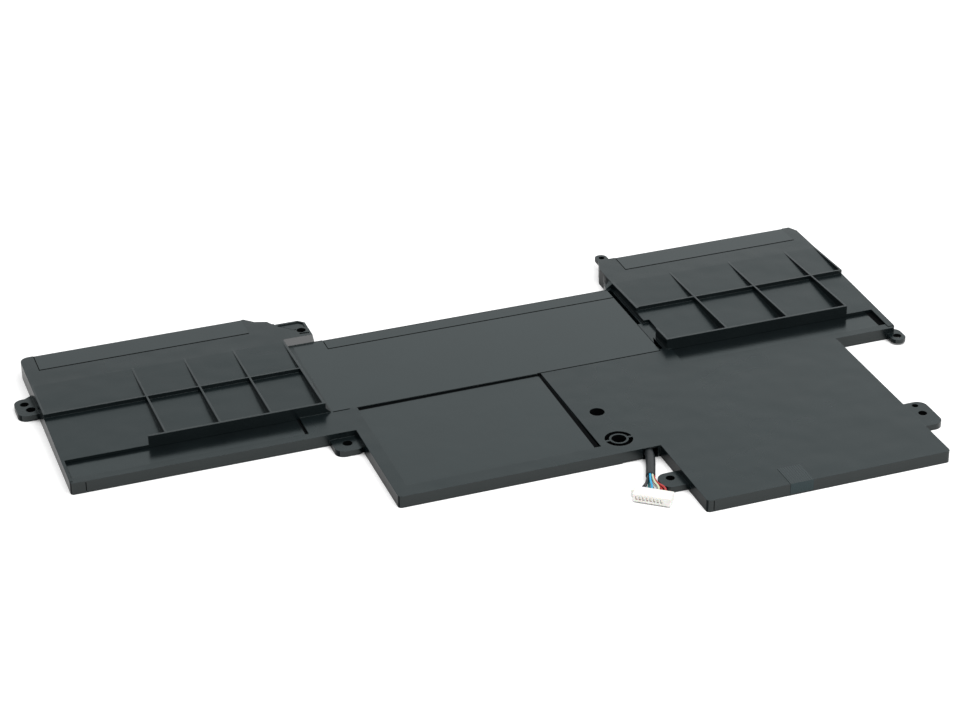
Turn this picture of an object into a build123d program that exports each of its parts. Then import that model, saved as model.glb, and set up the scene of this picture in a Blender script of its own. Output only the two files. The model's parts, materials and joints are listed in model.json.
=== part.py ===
from build123d import *
import os
from math import cos, pi, sin, tan

# Laptop battery pack, lying on its flat hidden side, in millimetres.
# X runs along the wide side and +Y away from the cable side. The plan is laid out from the left
# wall (X = 0), the back edge of the thin middle strip (Y = 0) and the resting plane (Z = 0), and is
# moved at the end so that the origin is under the middle of the pack without its cable.

# Plan of the moulded housing, each size along one side of one part of it
left_block_width = 84.7
bay_width = 117.3            # thin strip between the two raised blocks
right_block_width = 77.6
left_back_depth = 20.2       # how far each block reaches behind the strip
right_back_depth = 18.0
strip_depth = 46.7           # from the strip's back edge to the front wall of both blocks
pocket_depth = 13.3          # the low part in front of each block
middle_depth = 42.4          # from the pockets to the front of the middle area
panel_depth = 34.9           # from there to the front of the large panel
middle_inset = 5.8           # from the left block to the middle area
panel_overlap = 26.3         # how far the panel reaches in front of the strip
panel_inset = 22.2           # from the right edge to the panel
board_bay = 45.0             # width of the space between the middle cell and the right block
back_left_radius = 3.0
front_radius = 1.2
# The left block's back right corner, as steps to its left and in front of it.
left_step = ((8.7, 0.0), (5.7, 3.0), (1.7, 4.4), (0.6, 6.6), (0.0, 6.6))
right_back_cut = (2.2, 6.0)  # slanting back left corner of the right block
right_back_chamfer = 1.6
knob_width = 4.0             # small step on the right block's back edge
knob_depth = 1.3
knob_height = 4.9

# Heights
flat_height = 4.05
skin = 0.5
deck_back_z = 5.9            # blocks' floor behind the strip's back edge
deck_fall = 0.0278           # the floor falls this much for each mm towards the front
rib_back_z = 5.95            # plane of the rib tops at Y = 0
rib_rise = 0.0366            # that plane climbs this much for each mm towards the front
deck_skin = 0.8
wall = 0.9
partition = 0.9

# Ribs on the blocks
rib_thickness = 0.6
outer_rib_thickness = 0.8
rib_back_end = 0.8
cross_rib_back = 20.4        # from the strip's back edge to the rib along X
left_rib_spacing = (17.4, 16.5, 17.9)       # between the ribs, the last to the block's side
left_front_wall_length = 57.1
right_rib_spacing = (21.5, 22.3, 21.7)      # from the right block's left wall
right_front_wall_length = 65.8
rib_sink = 0.3
rib_gap_length = 16.5        # the right block's left rib is missing for this length behind its front end
side_notch_length = 10.2     # the wall under that gap steps back over its front part
side_notch_depth = 2.0
gusset_width = 1.8
gusset_length = 19.7
web_width = 2.5              # sloping web in the corner behind the strip
web_length = 8.0

# Bracket, the raised ear between the left block and the strip
bracket_size = (10.1, 12.9)
bracket_corner = 2.0
bracket_hole = (2.7, 6.9)    # from the bracket's right and back sides
bracket_rim = 0.8
bracket_recess = 0.4
bracket_groove = (6.8, 0.8, 0.9)            # length, width and depth
bracket_groove_place = (0.38, 0.28)    # shares of the bracket's width and depth, from its left and back
bracket_slot = (2.3, 1.85, 3.2)             # from the right side and from the slope, with its length

# Films
film = 0.15
film_gap = 0.25
film_float = 0.05            # space over the base film
left_film_inset = (4.6, 9.5)                # from the block's left and right sides
middle_film_inset = (12.8, 2.4)
right_film_inset = (8.3, 4.4)
left_film_depth = 10.4                      # from the back edge
middle_film_depth = 6.7
right_film_depth = 10.0
strip_film_inset = (2.3, 2.4)               # from the left block and the right block
film_setback = 0.3
side_slot_back = 0.9
front_slot_widths = (2.3, 2.0)

# Windows in the skin over the cells
window_rim = 1.0
window_end = 8.7             # from the left block's right side to the end of its window
window_front_wall = 3.0
middle_window_inset = 4.5
middle_window_front_wall = 5.8
right_window_start = 1.6
right_rim = 2.2
window_film = 0.2
window_film_gap = 0.9
right_film_gap = 2.0
middle_slit = (0.35, 1.2)    # dark slit beside the middle film, at its back and at its front

# Cells
cell_thickness = 3.0
cell_clearance = 0.35
cell_corner = 2.5
cell_edge = 0.6
terrace_length = 4.4
terrace_thickness = 0.3
base_film = 0.2
adhesive = 0.1
adhesive_inset = 6.0
foam_gap = 0.05

# Nickel tabs and links
tab_width = 5.0
tab_thickness = 0.12
tab_lap = 2.6
tab_slot = 0.4
link_clearance = 0.05
link_slope = 0.8             # how far a link runs while it climbs over the middle cell

# Protection board
board_margin = (2.6, 2.5)    # from the partition and from the right block's wall
board_depth = 30.0
board_inset = 2.7            # from the strip's front to the board's front edge
board_thickness = 0.8
gauge_chip_size = (7.0, 7.0, 0.9)
board_foam_inset = 1.0
weld_pad = 0.2
weld_pad_inset = 0.3
wire_pad = 0.1
middle_tab_steps = (4.0, 11.0)              # from the board's front edge
link_steps = (18.0, 25.0)
right_tab_steps = (7.0, 17.0)
front_tab_steps = (15.4, 6.4)               # from the board's right edge

# Screw ears
ear_thickness = 2.05
thin_ear = 1.3
notch_ear_step = 18.1        # from the panel's front edge to the middle of the ear by the cable
right_ear_step = 26.3        # from the panel's front edge to the middle of the right ear
small_screw_radius = 1.05
screw_radius = 1.4
large_screw_radius = 1.55
locating_offset = (10.7, 25.8)              # from the panel's left side and from the middle area's front
locating_radius = 2.4
ring_offset = (10.6, 8.2)
ring_slot_radius = 4.45
ring_radius = 3.05
ring_bore_radius = 2.35
ring_screw_radius = 1.2
ring_floor = 0.9
ring_bridge = 0.8
boss_wall = 0.8
boss_clearance = 0.1

# Tape folded over the front edge of the panel
tape_start = 27.3            # from the panel's left side
tape_width = 7.7
tape_lap = 9.3
tape_thickness = 0.1
tape_drop = 3.5

# Cable: eight wires in a short sleeve, ending in a crimp connector
wire_diameter = 0.68
bundle_radius = 0.94         # the wires lie in a ring inside the sleeve
bundle_turn = 11.25          # degrees that keep any two wires from lying one above the other
wire_pitch = 1.1
wire_shift = -0.8            # the row of wires sits to one side of the connector's middle
wire_stagger = 0.25          # wires enter the connector alternately above and below its middle
wire_straight = (1.5, 2.9)   # last straight run of the first and of the last wire into the connector
sleeve_diameter = 3.0
sleeve_bore = 2.7
sleeve_start = 0.3
sleeve_length = 24.6
cable_steps = [              # from the panel's left side and the middle area's front, with the height
    (-3.1, 10.4, 1.95),
    (-3.1, 4.4, 1.95),
    (-4.3, -2.0, 2.1),
    (-6.8, -8.0, 2.3),
    (-10.2, -15.7, 2.1),
]
mouth_width = 4.9
undercut = (6.9, 0.7)        # low cut in the wall beside the mouth, its length and its height
clamp_length = 2.0
lead_pitch = 0.7
connector_step = (-11.0, -21.3, 1.75)       # middle of its back face, from the same corner
connector_turn = -37.7
connector_size = (11.8, 4.8, 2.5)
contact_slot = (0.75, 3.4, 1.3)
contact_size = (0.55, 3.0, 0.9)
slot_overcut = 0.01          # how far the contact slots are cut past the front face

# Places worked out from the sizes above
right_block_left = left_block_width + bay_width
right_edge = right_block_left + right_block_width
strip_front = -strip_depth
block_front = strip_front - pocket_depth
middle_front = block_front - middle_depth
panel_front = middle_front - panel_depth
middle_left = left_block_width + middle_inset
panel_left = right_block_left - panel_overlap
panel_right = right_edge - panel_inset
middle_cell_right = right_block_left - board_bay
cross_rib_front = -cross_rib_back
skin_under = flat_height - skin
cell_bottom = base_film + adhesive
cell_top = cell_bottom + cell_thickness
tab_bottom = cell_bottom + cell_thickness / 2 - tab_thickness / 2
board_top = tab_bottom - weld_pad
left_rib_places = [left_block_width - sum(left_rib_spacing[i:]) for i in range(3)]
right_rib_places = [right_block_left + sum(right_rib_spacing[:i + 1]) for i in range(3)]
rib_gap_back = cross_rib_front - rib_thickness
rib_gap_front = rib_gap_back - rib_gap_length
left_film_x = (left_film_inset[0], left_block_width - left_film_inset[1])
middle_film_x = (left_block_width + middle_film_inset[0], right_block_left - middle_film_inset[1])
right_film_x = (right_block_left + right_film_inset[0], right_edge - right_film_inset[1])
left_film_front = left_back_depth - left_film_depth
right_film_front = right_back_depth - right_film_depth
strip_film_x = (left_block_width + strip_film_inset[0], right_block_left - strip_film_inset[1])
window_front = block_front + window_front_wall
middle_window_x = (middle_left + middle_window_inset, middle_cell_right)
middle_window_front = middle_front + middle_window_front_wall
board_x = (middle_cell_right + partition + board_margin[0], right_block_left - wall - board_margin[1])
board_y = (strip_front + board_inset, strip_front + board_inset + board_depth)
middle_tab_places = [board_y[0] + step for step in middle_tab_steps]
link_places = [board_y[0] + step for step in link_steps]
right_tab_places = [board_y[0] + step for step in right_tab_steps]
front_tab_places = [board_x[1] - step for step in front_tab_steps]
locating_hole = (panel_left - locating_offset[0], middle_front + locating_offset[1])
ring_boss = (panel_left - ring_offset[0], middle_front + ring_offset[1])
mouth_x = (panel_left - wall - mouth_width, panel_left - wall)
cable_route = [(panel_left + x, middle_front + y, z) for x, y, z in cable_steps]
connector_back = (panel_left + connector_step[0], middle_front + connector_step[1], connector_step[2])
big = 2 * right_edge


def block(x, y, z):
    """A box between pairs of low and high X, Y and Z."""
    spans = (x, y, z)
    middle = [(low + high) / 2 for low, high in spans]
    return Pos(*middle) * Box(*[high - low for low, high in spans])


def sheet(points, z):
    """A closed outline of X and Y points, thickened from z[0] to z[1]."""
    face = make_face(Polyline(*[(x, y, z[0]) for x, y in points], close=True))
    return extrude(face, amount=z[1] - z[0], dir=(0, 0, 1))


def prism_x(x, profile):
    """A closed outline of Y and Z points, drawn out along X."""
    face = make_face(Polyline(*[(x[0], y, z) for y, z in profile], close=True))
    return extrude(face, amount=x[1] - x[0], dir=(1, 0, 0))


def prism_y(y, profile):
    """A closed outline of X and Z points, drawn out along Y."""
    face = make_face(Polyline(*[(x, y[0], z) for x, z in profile], close=True))
    return extrude(face, amount=y[1] - y[0], dir=(0, 1, 0))


def drum(centre, radius, z):
    """An upright cylinder."""
    middle = (z[0] + z[1]) / 2
    return Pos(centre[0], centre[1], middle) * Cylinder(radius, z[1] - z[0])


def deck_z(y):
    """Height of the blocks' floor."""
    return deck_back_z + min(y, 0.0) * deck_fall


def rib_z(y):
    """Height of the plane that the rib tops lie in."""
    return rib_back_z - y * rib_rise


def corner_at(face, x, y):
    """The corner of a flat face nearest to a point."""
    return min(face.vertices(), key=lambda v: abs(v.X - x) + abs(v.Y - y))


def housing_face():
    """The housing's plan outline without its ears."""
    points = [(0.0, left_back_depth)]
    points += [(left_block_width - x, left_back_depth - y) for x, y in left_step]
    points += [
        (left_block_width, 0.0),
        (right_block_left, 0.0),
        (right_block_left, right_back_depth - right_back_cut[1]),
        (right_block_left + right_back_cut[0], right_back_depth),
        (right_edge - right_back_chamfer, right_back_depth),
        (right_edge, right_back_depth - 2 * right_back_chamfer),
        (right_edge, block_front),
        (panel_right, block_front),
        (panel_right, panel_front),
        (panel_left, panel_front),
        (panel_left, middle_front),
        (middle_left, middle_front),
        (middle_left, block_front),
        (0.0, block_front),
    ]
    face = make_face(Polyline(*points, close=True))
    face = fillet(corner_at(face, 0.0, left_back_depth), back_left_radius)
    front_corners = [
        (0.0, block_front),
        (middle_left, middle_front),
        (panel_left, panel_front),
        (panel_right, panel_front),
        (right_edge, block_front),
    ]
    for x, y in front_corners:
        face = fillet(corner_at(face, x, y), front_radius)
    return face


def rib(x, y):
    """A rib that stands on the blocks' floor up to the plane of the rib tops."""
    profile = [
        (y[0], deck_z(y[0]) - rib_sink),
        (y[0], rib_z(y[0])),
        (y[1], rib_z(y[1])),
        (y[1], deck_z(y[1]) - rib_sink),
    ]
    return prism_x(x, profile)


def raised_block(face, x, back):
    """One block above the flat housing: level at the back, its floor falling to the front wall."""
    solid = extrude(face, amount=deck_back_z) & block(x, (strip_front, back), (0.0, deck_back_z))
    above = [(0.0, deck_back_z), (strip_front, deck_z(strip_front)), (strip_front, big), (0.0, big)]
    return solid - prism_x((x[0] - wall, x[1] + wall), above)


def left_ribs():
    """The lattice on the left block."""
    right = left_block_width
    side = right - outer_rib_thickness
    ribs = rib((side, right), (strip_front, rib_back_end))
    ribs += rib((0.0, rib_thickness), (cross_rib_front, rib_back_end))
    ribs += rib((0.0, right), (cross_rib_front, cross_rib_front + rib_thickness))
    ribs += rib((right - left_front_wall_length, right), (strip_front, strip_front + outer_rib_thickness))
    for place in left_rib_places:
        ribs += rib((place, place + rib_thickness), (strip_front, rib_back_end))
    return ribs


def right_ribs():
    """The lattice on the right block, with the gap in its left rib."""
    left = right_block_left
    ribs = rib((left, left + outer_rib_thickness), (rib_gap_back, rib_back_end))
    ribs += rib((left, left + outer_rib_thickness), (strip_front, rib_gap_front))
    ribs += rib((right_edge - rib_thickness, right_edge), (cross_rib_front, rib_back_end))
    ribs += rib((left, right_edge), (cross_rib_front, cross_rib_front + rib_thickness))
    wall_end = left + right_front_wall_length
    ribs += rib((left, wall_end), (strip_front, strip_front + outer_rib_thickness))
    for place in right_rib_places:
        ribs += rib((place, place + rib_thickness), (strip_front, rib_back_end))
    return ribs


def rim(x):
    """The rim beside a front window, which carries on the blocks' floor."""
    low = flat_height - rib_sink
    profile = [
        (block_front + front_radius, low),
        (block_front + front_radius, deck_z(block_front)),
        (strip_front, deck_z(strip_front)),
        (strip_front, low),
    ]
    return prism_x(x, profile)


def gusset():
    """The sloping foot of the left block's wall along the strip."""
    left = left_block_width
    profile = [(left, flat_height), (left + gusset_width, flat_height), (left, flat_height + gusset_width)]
    return prism_y((strip_front, strip_front + gusset_length), profile)


def corner_web():
    """The web behind the strip in the right block's corner: level below, sloping up to the block."""
    right = right_block_left + wall
    outline = [(right, web_length), (right_block_left, web_length), (right_block_left - web_width, 0.0),
               (right_block_left - web_width, -wall), (right, -wall)]
    rise = deck_back_z - flat_height
    low = flat_height - rib_sink

    def section(y, width):
        """An upright triangle against the block's wall."""
        x = right_block_left - width
        points = [(right, y, low), (x, y, low), (x, y, flat_height),
                  (right_block_left, y, flat_height + rise),
                  (right, y, flat_height + rise)]
        return make_face(Polyline(*points, close=True))

    slope = loft([section(0.0, web_width), section(web_length, film)])
    return sheet(outline, (0.0, flat_height)) + slope


def side_notch():
    """Where the right block's left wall steps back beside the strip, above the strip's surface."""
    x = (right_block_left - film, right_block_left + side_notch_depth)
    return block(x, (rib_gap_front, rib_gap_front + side_notch_length), (flat_height, big))


def side_slots():
    """Dark slots through the skin along the foot of the right block's left wall."""
    z = (skin_under - film, flat_height + 1.0)
    inner = right_block_left - wall
    back_y = (rib_gap_front + side_notch_length, -side_slot_back)
    back = block((strip_film_x[1] + film_gap, inner), back_y, z)
    start = rib_gap_front
    end = strip_front + outer_rib_thickness
    corner = right_block_left - front_slot_widths[0]
    points = [(inner, start), (corner, (start + end) / 2),
              (right_block_left - front_slot_widths[1], end), (inner, end)]
    return [back, sheet(points, z)]


def bracket():
    """The raised ear in the corner between the left block and the strip, with its sloping front."""
    x0, x1 = left_block_width - wall, left_block_width + bracket_size[0]
    y0, y1 = 0.0, bracket_size[1]
    slope = deck_back_z - flat_height
    corner = bracket_corner
    solid = sheet([(x0, y0), (x1, y0), (x1, y1 - corner), (x1 - corner, y1), (x0, y1)], (0.0, deck_back_z))
    solid -= prism_x((x0, x1), [(y0, flat_height), (y0, big), (y0 + slope, deck_back_z)])
    hole = (x1 - bracket_hole[0], y1 - bracket_hole[1])
    edge = bracket_rim
    sunk = [(x0 + 2.5 * edge, y1 - edge), (x1 - corner, y1 - edge), (x1 - edge, y1 - corner),
            (x1 - edge, hole[1] - large_screw_radius), (hole[0] - large_screw_radius, hole[1])]
    ring = drum(hole, large_screw_radius + edge, (0.0, deck_back_z))
    solid -= sheet(sunk, (deck_back_z - bracket_recess, deck_back_z + 1.0)) - ring
    solid -= drum(hole, large_screw_radius, (-1.0, deck_back_z + 1.0))
    across, down = bracket_groove_place
    middle = (x0 + across * (x1 - x0), y1 - down * (y1 - y0), deck_back_z)
    groove = Pos(*middle) * Rot(0, 0, -45) * Box(bracket_groove[0], bracket_groove[1], 2 * bracket_groove[2])
    slot_at = (x1 - bracket_slot[0], slope + bracket_slot[1], deck_back_z)
    slot = Pos(*slot_at) * Rot(0, 0, -8) * Box(bracket_slot[2], bracket_groove[1], 2 * bracket_groove[2])
    return solid - groove - slot


def knob():
    """The small step on the right block's back edge."""
    x1 = right_edge - right_back_chamfer
    y = (right_back_depth - wall, right_back_depth + knob_depth)
    return block((x1 - knob_width, x1), y, (0.0, knob_height))


def ear(centre, size, radius, z):
    """A flat rounded screw ear between two heights."""
    outline = RectangleRounded(size[0], size[1], radius)
    return extrude(Pos(centre[0], centre[1], z[0]) * outline, amount=z[1] - z[0])


def ear_list():
    """Every ear as middle, size, corner radius, heights and its holes as (x, y, radius)."""
    low = (0.0, ear_thickness)
    front = (left_block_width + 1.9, block_front - 2.0)
    left_holes = [(-3.2, -3.7, screw_radius), (-1.9, -7.7, large_screw_radius)]
    notch = (panel_left - 2.3, panel_front + notch_ear_step)
    right = (panel_right + 2.4, panel_front + right_ear_step)
    right_holes = [(panel_right + 4.8, right[1] + 5.2, small_screw_radius),
                   (panel_right + 4.8, right[1] + 0.2, screw_radius)]
    corner = (right_edge - 0.6, block_front - 1.4)
    back = (right_block_left + 5.3, right_back_depth + 3.0)
    return [
        ((-2.2, -5.8), (8.4, 11.2), 3.0, low, left_holes),
        (front, (9.6, 12.4), 3.0, low, [(front[0] - 0.1, front[1] - 1.6, large_screw_radius)]),
        (notch, (10.6, 8.2), 3.2, low, [(notch[0] - 1.4, notch[1] + 1.0, screw_radius)]),
        (right, (12.4, 14.8), 3.2, low, right_holes),
        (corner, (5.2, 8.0), 2.5, (ear_thickness - thin_ear, ear_thickness),
         [(corner[0] + 0.1, corner[1] - 0.9, screw_radius)]),
        (back, (4.4, 8.6), 2.1, (flat_height - thin_ear, flat_height),
         [(back[0] + 0.1, back[1] + 1.9, small_screw_radius)]),
    ]


def ear_flare():
    """The slanting web behind the left ear."""
    points = [(0.5, 1.9), (0.0, 1.5), (-4.6, -1.6), (-4.0, -4.0), (0.5, -4.0)]
    return sheet(points, (0.0, ear_thickness))


def cavities():
    """The spaces inside the housing, open to the base film below."""
    z = (-1.0, skin_under)
    left = (wall, left_block_width - wall)
    right = (right_block_left + wall, right_edge - wall)
    step_x, step_y = left_step[0][0], left_step[-1][1]
    cut_x, cut_y = right_back_cut
    chamfer = 2 * right_back_chamfer
    spaces = [
        block(left, (block_front + wall, left_back_depth - wall - step_y), z),
        block((left[0] + back_left_radius, left[1] - step_x), (0.0, left_back_depth - wall), z),
        block((left_block_width + wall, middle_cell_right), (strip_front, -wall), z),
        block((middle_left + wall, middle_cell_right), (middle_front + wall, strip_front + wall), z),
        block((middle_cell_right + partition, right_block_left - wall), (block_front + wall, -wall), z),
        block((middle_cell_right + partition, panel_left - wall), (middle_front + wall, -wall), z),
        block((panel_left + wall, panel_right - wall), (panel_front + wall, block_front - partition), z),
        block(right, (block_front + wall, right_back_depth - wall - max(cut_y, chamfer)), z),
        block((right[0] + cut_x, right[1] - chamfer), (0.0, right_back_depth - wall), z),
    ]
    return spaces


def foam_space(x, back, inset):
    """The wedge between the cells and the blocks' floor, less an inset all round."""
    y0 = strip_front + outer_rib_thickness + inset
    drop = deck_skin + inset
    low = cell_top + window_film + inset
    profile = [(y0, low), (y0, deck_z(y0) - drop), (0.0, deck_back_z - drop),
               (back - inset, deck_back_z - drop),
               (back - inset, low)]
    return prism_x((x[0] + inset, x[1] - inset), profile)


def foam_bounds():
    """X range and back end of the two foam wedges."""
    left = ((wall, left_block_width - wall), left_back_depth - wall - left_step[-1][1])
    right_x = (right_block_left + wall + side_notch_depth, right_edge - wall)
    return left, (right_x, right_back_depth - wall - max(right_back_cut[1], 2 * right_back_chamfer))


def windows():
    """Openings in the skin that show the film over the cells."""
    z = (skin_under - film, big)
    y = (window_front, strip_front)
    x0, x1 = middle_window_x
    slit = [(x1 - film, strip_front), (x1 + middle_slit[0], strip_front),
            (x1 + middle_slit[1], middle_window_front),
            (x1 - film, middle_window_front)]
    return [
        block((window_rim, left_block_width - window_end), y, z),
        block((x0, x1), (middle_window_front, strip_front), z),
        sheet(slit, z),
        block((right_block_left + right_window_start, right_edge - right_rim), y, z),
    ]


def film_recesses():
    """Shallow recesses for the films, each a gap wider than its film."""
    left_z = (deck_back_z - film, big)
    flat_z = (flat_height - film, big)
    edge = 0.05
    x0, x1 = strip_film_x
    return [
        block(left_film_x, (left_film_front, big), left_z),
        block(right_film_x, (right_film_front, big), left_z),
        block((x0, middle_film_x[0]), (strip_front - edge, -film_setback), flat_z),
        block((middle_film_x[0], x1 + film_gap), (strip_front - edge, big), flat_z) - side_keep(),
    ]


def side_keep():
    """Space over the corner web, which the strip's recess leaves as it is."""
    return block((right_block_left - web_width - film, right_block_left + wall), (-wall, big), (0.0, big))


def bosses(solid):
    """Add the locating hole and the ring boss, each a column from the resting plane to the skin."""
    top = flat_height + 1.0
    solid += drum(locating_hole, locating_radius + boss_wall, (0.0, skin_under + film))
    solid += drum(ring_boss, ring_slot_radius + boss_wall, (0.0, skin_under + film))
    solid -= drum(locating_hole, locating_radius, (-1.0, top))
    slot = drum(ring_boss, ring_slot_radius, (ring_floor, top)) - drum(ring_boss, ring_radius, (0.0, top))
    half_bridge = Box(2 * ring_slot_radius + 1.0, ring_bridge, skin)
    bridge = Pos(ring_boss[0], ring_boss[1], flat_height - skin / 2) * half_bridge
    solid -= slot - bridge
    solid -= drum(ring_boss, ring_bore_radius, (ring_floor, top))
    solid -= drum(ring_boss, ring_screw_radius, (-1.0, top))
    return solid


def tab_notches():
    """Slots in the walls where the cells' tabs and the links pass."""
    z = (tab_bottom - tab_slot, skin_under + 0.01)
    half = tab_width / 2 + tab_slot
    reach = 2 * wall
    left_wall = (left_block_width - reach, left_block_width + reach)
    inner_wall = (middle_cell_right - reach, middle_cell_right + partition + reach)
    right_wall = (right_block_left - reach, right_block_left + reach)
    front_wall = (block_front - reach, block_front + reach)
    notches = [block(left_wall, (y - half, y + half), z) for y in link_places]
    notches += [block(inner_wall, (y - half, y + half), z) for y in link_places + middle_tab_places]
    notches += [block(right_wall, (y - half, y + half), z) for y in right_tab_places]
    notches += [block((x - half, x + half), front_wall, z) for x in front_tab_places]
    return notches


def mouth():
    """The cable's way out through the wall, and the low cut beside it."""
    y = (middle_front - 1.0, middle_front + wall + 0.01)
    low = base_film + boss_clearance
    opening = block(mouth_x, y, (low, skin_under))
    beside_x = (mouth_x[0] - undercut[0], mouth_x[0] + film)
    beside = block(beside_x, (y[0], y[1] - wall / 2), (-1.0, undercut[1]))
    return [opening, beside]


def make_housing():
    """The moulded housing, one piece: shell, blocks, lattice, bosses and ears."""
    face = housing_face()
    solid = extrude(face, amount=flat_height)
    solid += raised_block(face, (0.0, left_block_width), left_back_depth)
    solid += raised_block(face, (right_block_left, right_edge), right_back_depth)
    solid += rim((0.0, window_rim))
    solid += rim((right_edge - right_rim, right_edge))
    solid += left_ribs()
    solid += right_ribs()
    solid += gusset()
    solid += corner_web()
    solid += bracket()
    solid += knob()
    solid += ear_flare()
    for centre, size, radius, z, holes in ear_list():
        solid += ear(centre, size, radius, z)
    inner = offset(face, amount=-wall)
    solid -= Pos(0, 0, -1.0) * extrude(inner, amount=1.0 + base_film + film_float)
    for space in cavities():
        solid -= space
    for x, back in foam_bounds():
        solid -= foam_space(x, back, 0.0)
    for space in windows() + film_recesses() + tab_notches() + side_slots() + [side_notch()]:
        solid -= space
    solid = bosses(solid)
    for centre, size, radius, z, holes in ear_list():
        for x, y, r in holes:
            solid -= drum((x, y), r, (z[0] - 1.0, z[1] + 0.01))
    for space in mouth():
        solid -= space
    return solid


def make_base_film():
    """The sheet that closes the housing on the resting plane, with holes round the bosses."""
    film_face = offset(housing_face(), amount=-(wall + boss_clearance))
    solid = extrude(film_face, amount=base_film)
    solid -= drum(locating_hole, locating_radius + boss_wall + boss_clearance, (-1.0, 1.0))
    solid -= drum(ring_boss, ring_slot_radius + boss_wall + boss_clearance, (-1.0, 1.0))
    return solid


def make_films():
    """The thin films in their recesses in the skin and on the blocks."""
    flat = (flat_height - film, flat_height)
    deck = (deck_back_z - film, deck_back_z)
    gap = film_gap
    left_x, middle_x, right_x = left_film_x, middle_film_x, right_film_x
    left_back = left_back_depth - film_setback
    right_back = right_back_depth - film_setback
    middle_front_edge = -middle_film_depth
    x0, x1 = strip_film_x
    left = block((left_x[0] + gap, left_x[1]), (left_film_front + gap, left_back), deck)
    right = block((right_x[0] + gap, right_x[1]), (right_film_front + gap, right_back), deck)
    middle = block((middle_x[0] + gap, x1), (middle_front_edge + gap, -wall - gap), flat)
    strip = block((x0, x1), (strip_front, middle_front_edge), flat)
    strip += block((x0, middle_x[0]), (middle_front_edge, -film_setback - gap), flat)
    return {
        "edge_film_left": left,
        "edge_film_middle": middle,
        "edge_film_right": right,
        "strip_film": strip,
    }


def make_window_films():
    """The films that show through the windows, lying on the cells."""
    z = (cell_top, cell_top + window_film)
    lap = wall + cell_clearance
    y = (window_front - lap, strip_front + lap)
    front = (middle_window_front - lap, strip_front + lap)
    left_x = (wall + film_float + cell_clearance, left_block_width - window_end - window_film_gap)
    right_x = (right_block_left + lap, right_edge - right_rim - right_film_gap)
    middle_x = (middle_left + wall + 2 * cell_edge, middle_window_x[1] - cell_edge)
    return {
        "window_film_left": block(left_x, y, z),
        "window_film_middle": block(middle_x, front, z),
        "window_film_right": block(right_x, y, z),
    }


def pouch(x, y, terrace):
    """A sealed pouch cell with a thin terrace on the side named by terrace, where its tabs leave."""
    body_x, body_y = list(x), list(y)
    if terrace == "right":
        body_x[1] -= terrace_length
    if terrace == "left":
        body_x[0] += terrace_length
    if terrace == "back":
        body_y[1] -= terrace_length
    centre = (sum(body_x) / 2, sum(body_y) / 2, cell_bottom)
    outline = RectangleRounded(body_x[1] - body_x[0], body_y[1] - body_y[0], cell_corner)
    body = extrude(Pos(*centre) * outline, amount=cell_thickness)
    ends = body.faces().filter_by(Axis.Z)
    body = fillet(ends.edges(), cell_edge)
    middle = cell_bottom + cell_thickness / 2
    z = (middle - terrace_thickness / 2, middle + terrace_thickness / 2)
    if terrace == "back":
        return body + block((x[0] + cell_corner, x[1] - cell_corner), (y[1] - 2 * terrace_length, y[1]), z)
    inner = (x[1] - 2 * terrace_length, x[1]) if terrace == "right" else (x[0], x[0] + 2 * terrace_length)
    return body + block(inner, (y[0] + cell_corner, y[1] - cell_corner), z)


def cell_places():
    """X and Y ranges of the four cells and the side that their tabs leave on."""
    gap = wall + cell_clearance
    left_y = (block_front + gap, left_back_depth - left_step[-1][1] - gap)
    right_y = (block_front + gap, right_back_depth - max(right_back_cut[1], 2 * right_back_chamfer) - gap)
    return {
        "left": ((gap, left_block_width - gap), left_y, "right"),
        "middle": ((middle_left + gap, middle_cell_right - cell_clearance),
                   (middle_front + gap, -gap), "right"),
        "front": ((panel_left + gap, panel_right - gap), (panel_front + gap, block_front - gap), "back"),
        "right": ((right_block_left + gap, right_edge - gap), right_y, "left"),
    }


def make_cells():
    """The four cells, with the adhesive pad under each."""
    made = {}
    for name, (x, y, terrace) in cell_places().items():
        made["cell_" + name] = pouch(x, y, terrace)
        inset = adhesive_inset
        pad = block((x[0] + inset, x[1] - inset), (y[0] + inset, y[1] - inset), (base_film, cell_bottom))
        made["adhesive_" + name] = pad
    return made


def make_tabs():
    """Nickel tabs that leave the cells, in pairs, and the weld pads that they reach on the board."""
    z = (tab_bottom, tab_bottom + tab_thickness)
    half = tab_width / 2
    lap = tab_lap
    places = cell_places()
    left_end = places["left"][0][1]
    middle_end = places["middle"][0][1]
    right_start = places["right"][0][0]
    front_back = places["front"][1][1]
    x0, x1 = board_x
    y0 = board_y[0]
    left = [block((left_end, middle_left - lap), (y - half, y + half), z) for y in link_places]
    middle = [block((middle_end, x0 + lap), (y - half, y + half), z) for y in middle_tab_places]
    right = [block((x1 - lap, right_start), (y - half, y + half), z) for y in right_tab_places]
    front = [block((x - half, x + half), (front_back, y0 + lap), z) for x in front_tab_places]
    pad_z = (board_top, tab_bottom)
    inset = weld_pad_inset
    side = half - inset
    left_pads = middle_tab_places + link_places
    pads = [block((x0 + inset, x0 + lap), (y - side, y + side), pad_z) for y in left_pads]
    pads += [block((x1 - lap, x1 - inset), (y - side, y + side), pad_z) for y in right_tab_places]
    pads += [block((x - side, x + side), (y0 + inset, y0 + lap), pad_z) for x in front_tab_places]
    return {
        "tabs_left": Compound(children=left),
        "tabs_middle": Compound(children=middle),
        "tabs_right": Compound(children=right),
        "tabs_front": Compound(children=front),
        "weld_pads": Compound(children=pads),
    }


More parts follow.
